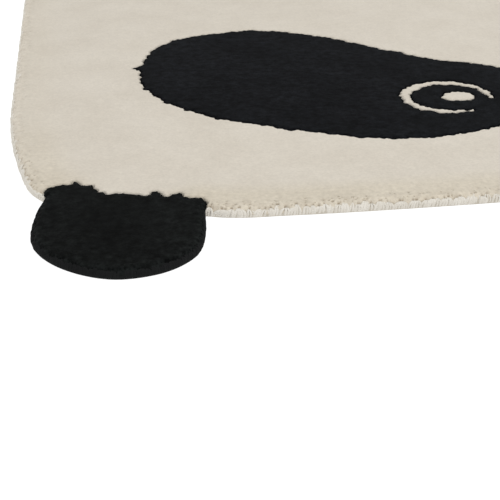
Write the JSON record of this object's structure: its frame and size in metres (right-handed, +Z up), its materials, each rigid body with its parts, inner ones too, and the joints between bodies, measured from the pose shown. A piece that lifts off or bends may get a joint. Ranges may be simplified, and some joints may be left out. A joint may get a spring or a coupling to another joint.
{
  "type": "panda face rug",
  "caption": "Low-pile wool rug in the outline of a panda's face, with black ears, eye patches and nose on cream, and an overcast rim.",
  "frame": {"origin": "middle of the box round the rug, on its underside", "axes": "+X across the face from ear to ear, +Y from the ears to the chin, +Z up out of the pile"},
  "size_m": [1.2, 1, 0.009],
  "materials": {
    "cream_wool": "short, dense cut wool pile, matte",
    "black_wool": "short, dense cut wool pile, velvety",
    "cream_edge_yarn": "overcast wool yarn",
    "black_edge_yarn": "overcast wool yarn"
  },
  "bodies": {
    "root": {"rug_panel": "cream_wool", "ear_left": "black_wool", "ear_right": "black_wool", "eye_patch_left": "black_wool", "eye_patch_right": "black_wool", "eye_ring_left": "cream_wool", "eye_ring_right": "cream_wool", "eye_glint_left": "cream_wool", "eye_glint_right": "cream_wool", "nose": "black_wool", "edge_top": "cream_edge_yarn", "edge_sides": "cream_edge_yarn", "edge_ear_left": "black_edge_yarn", "edge_ear_right": "black_edge_yarn"}
  },
  "joints": []
}
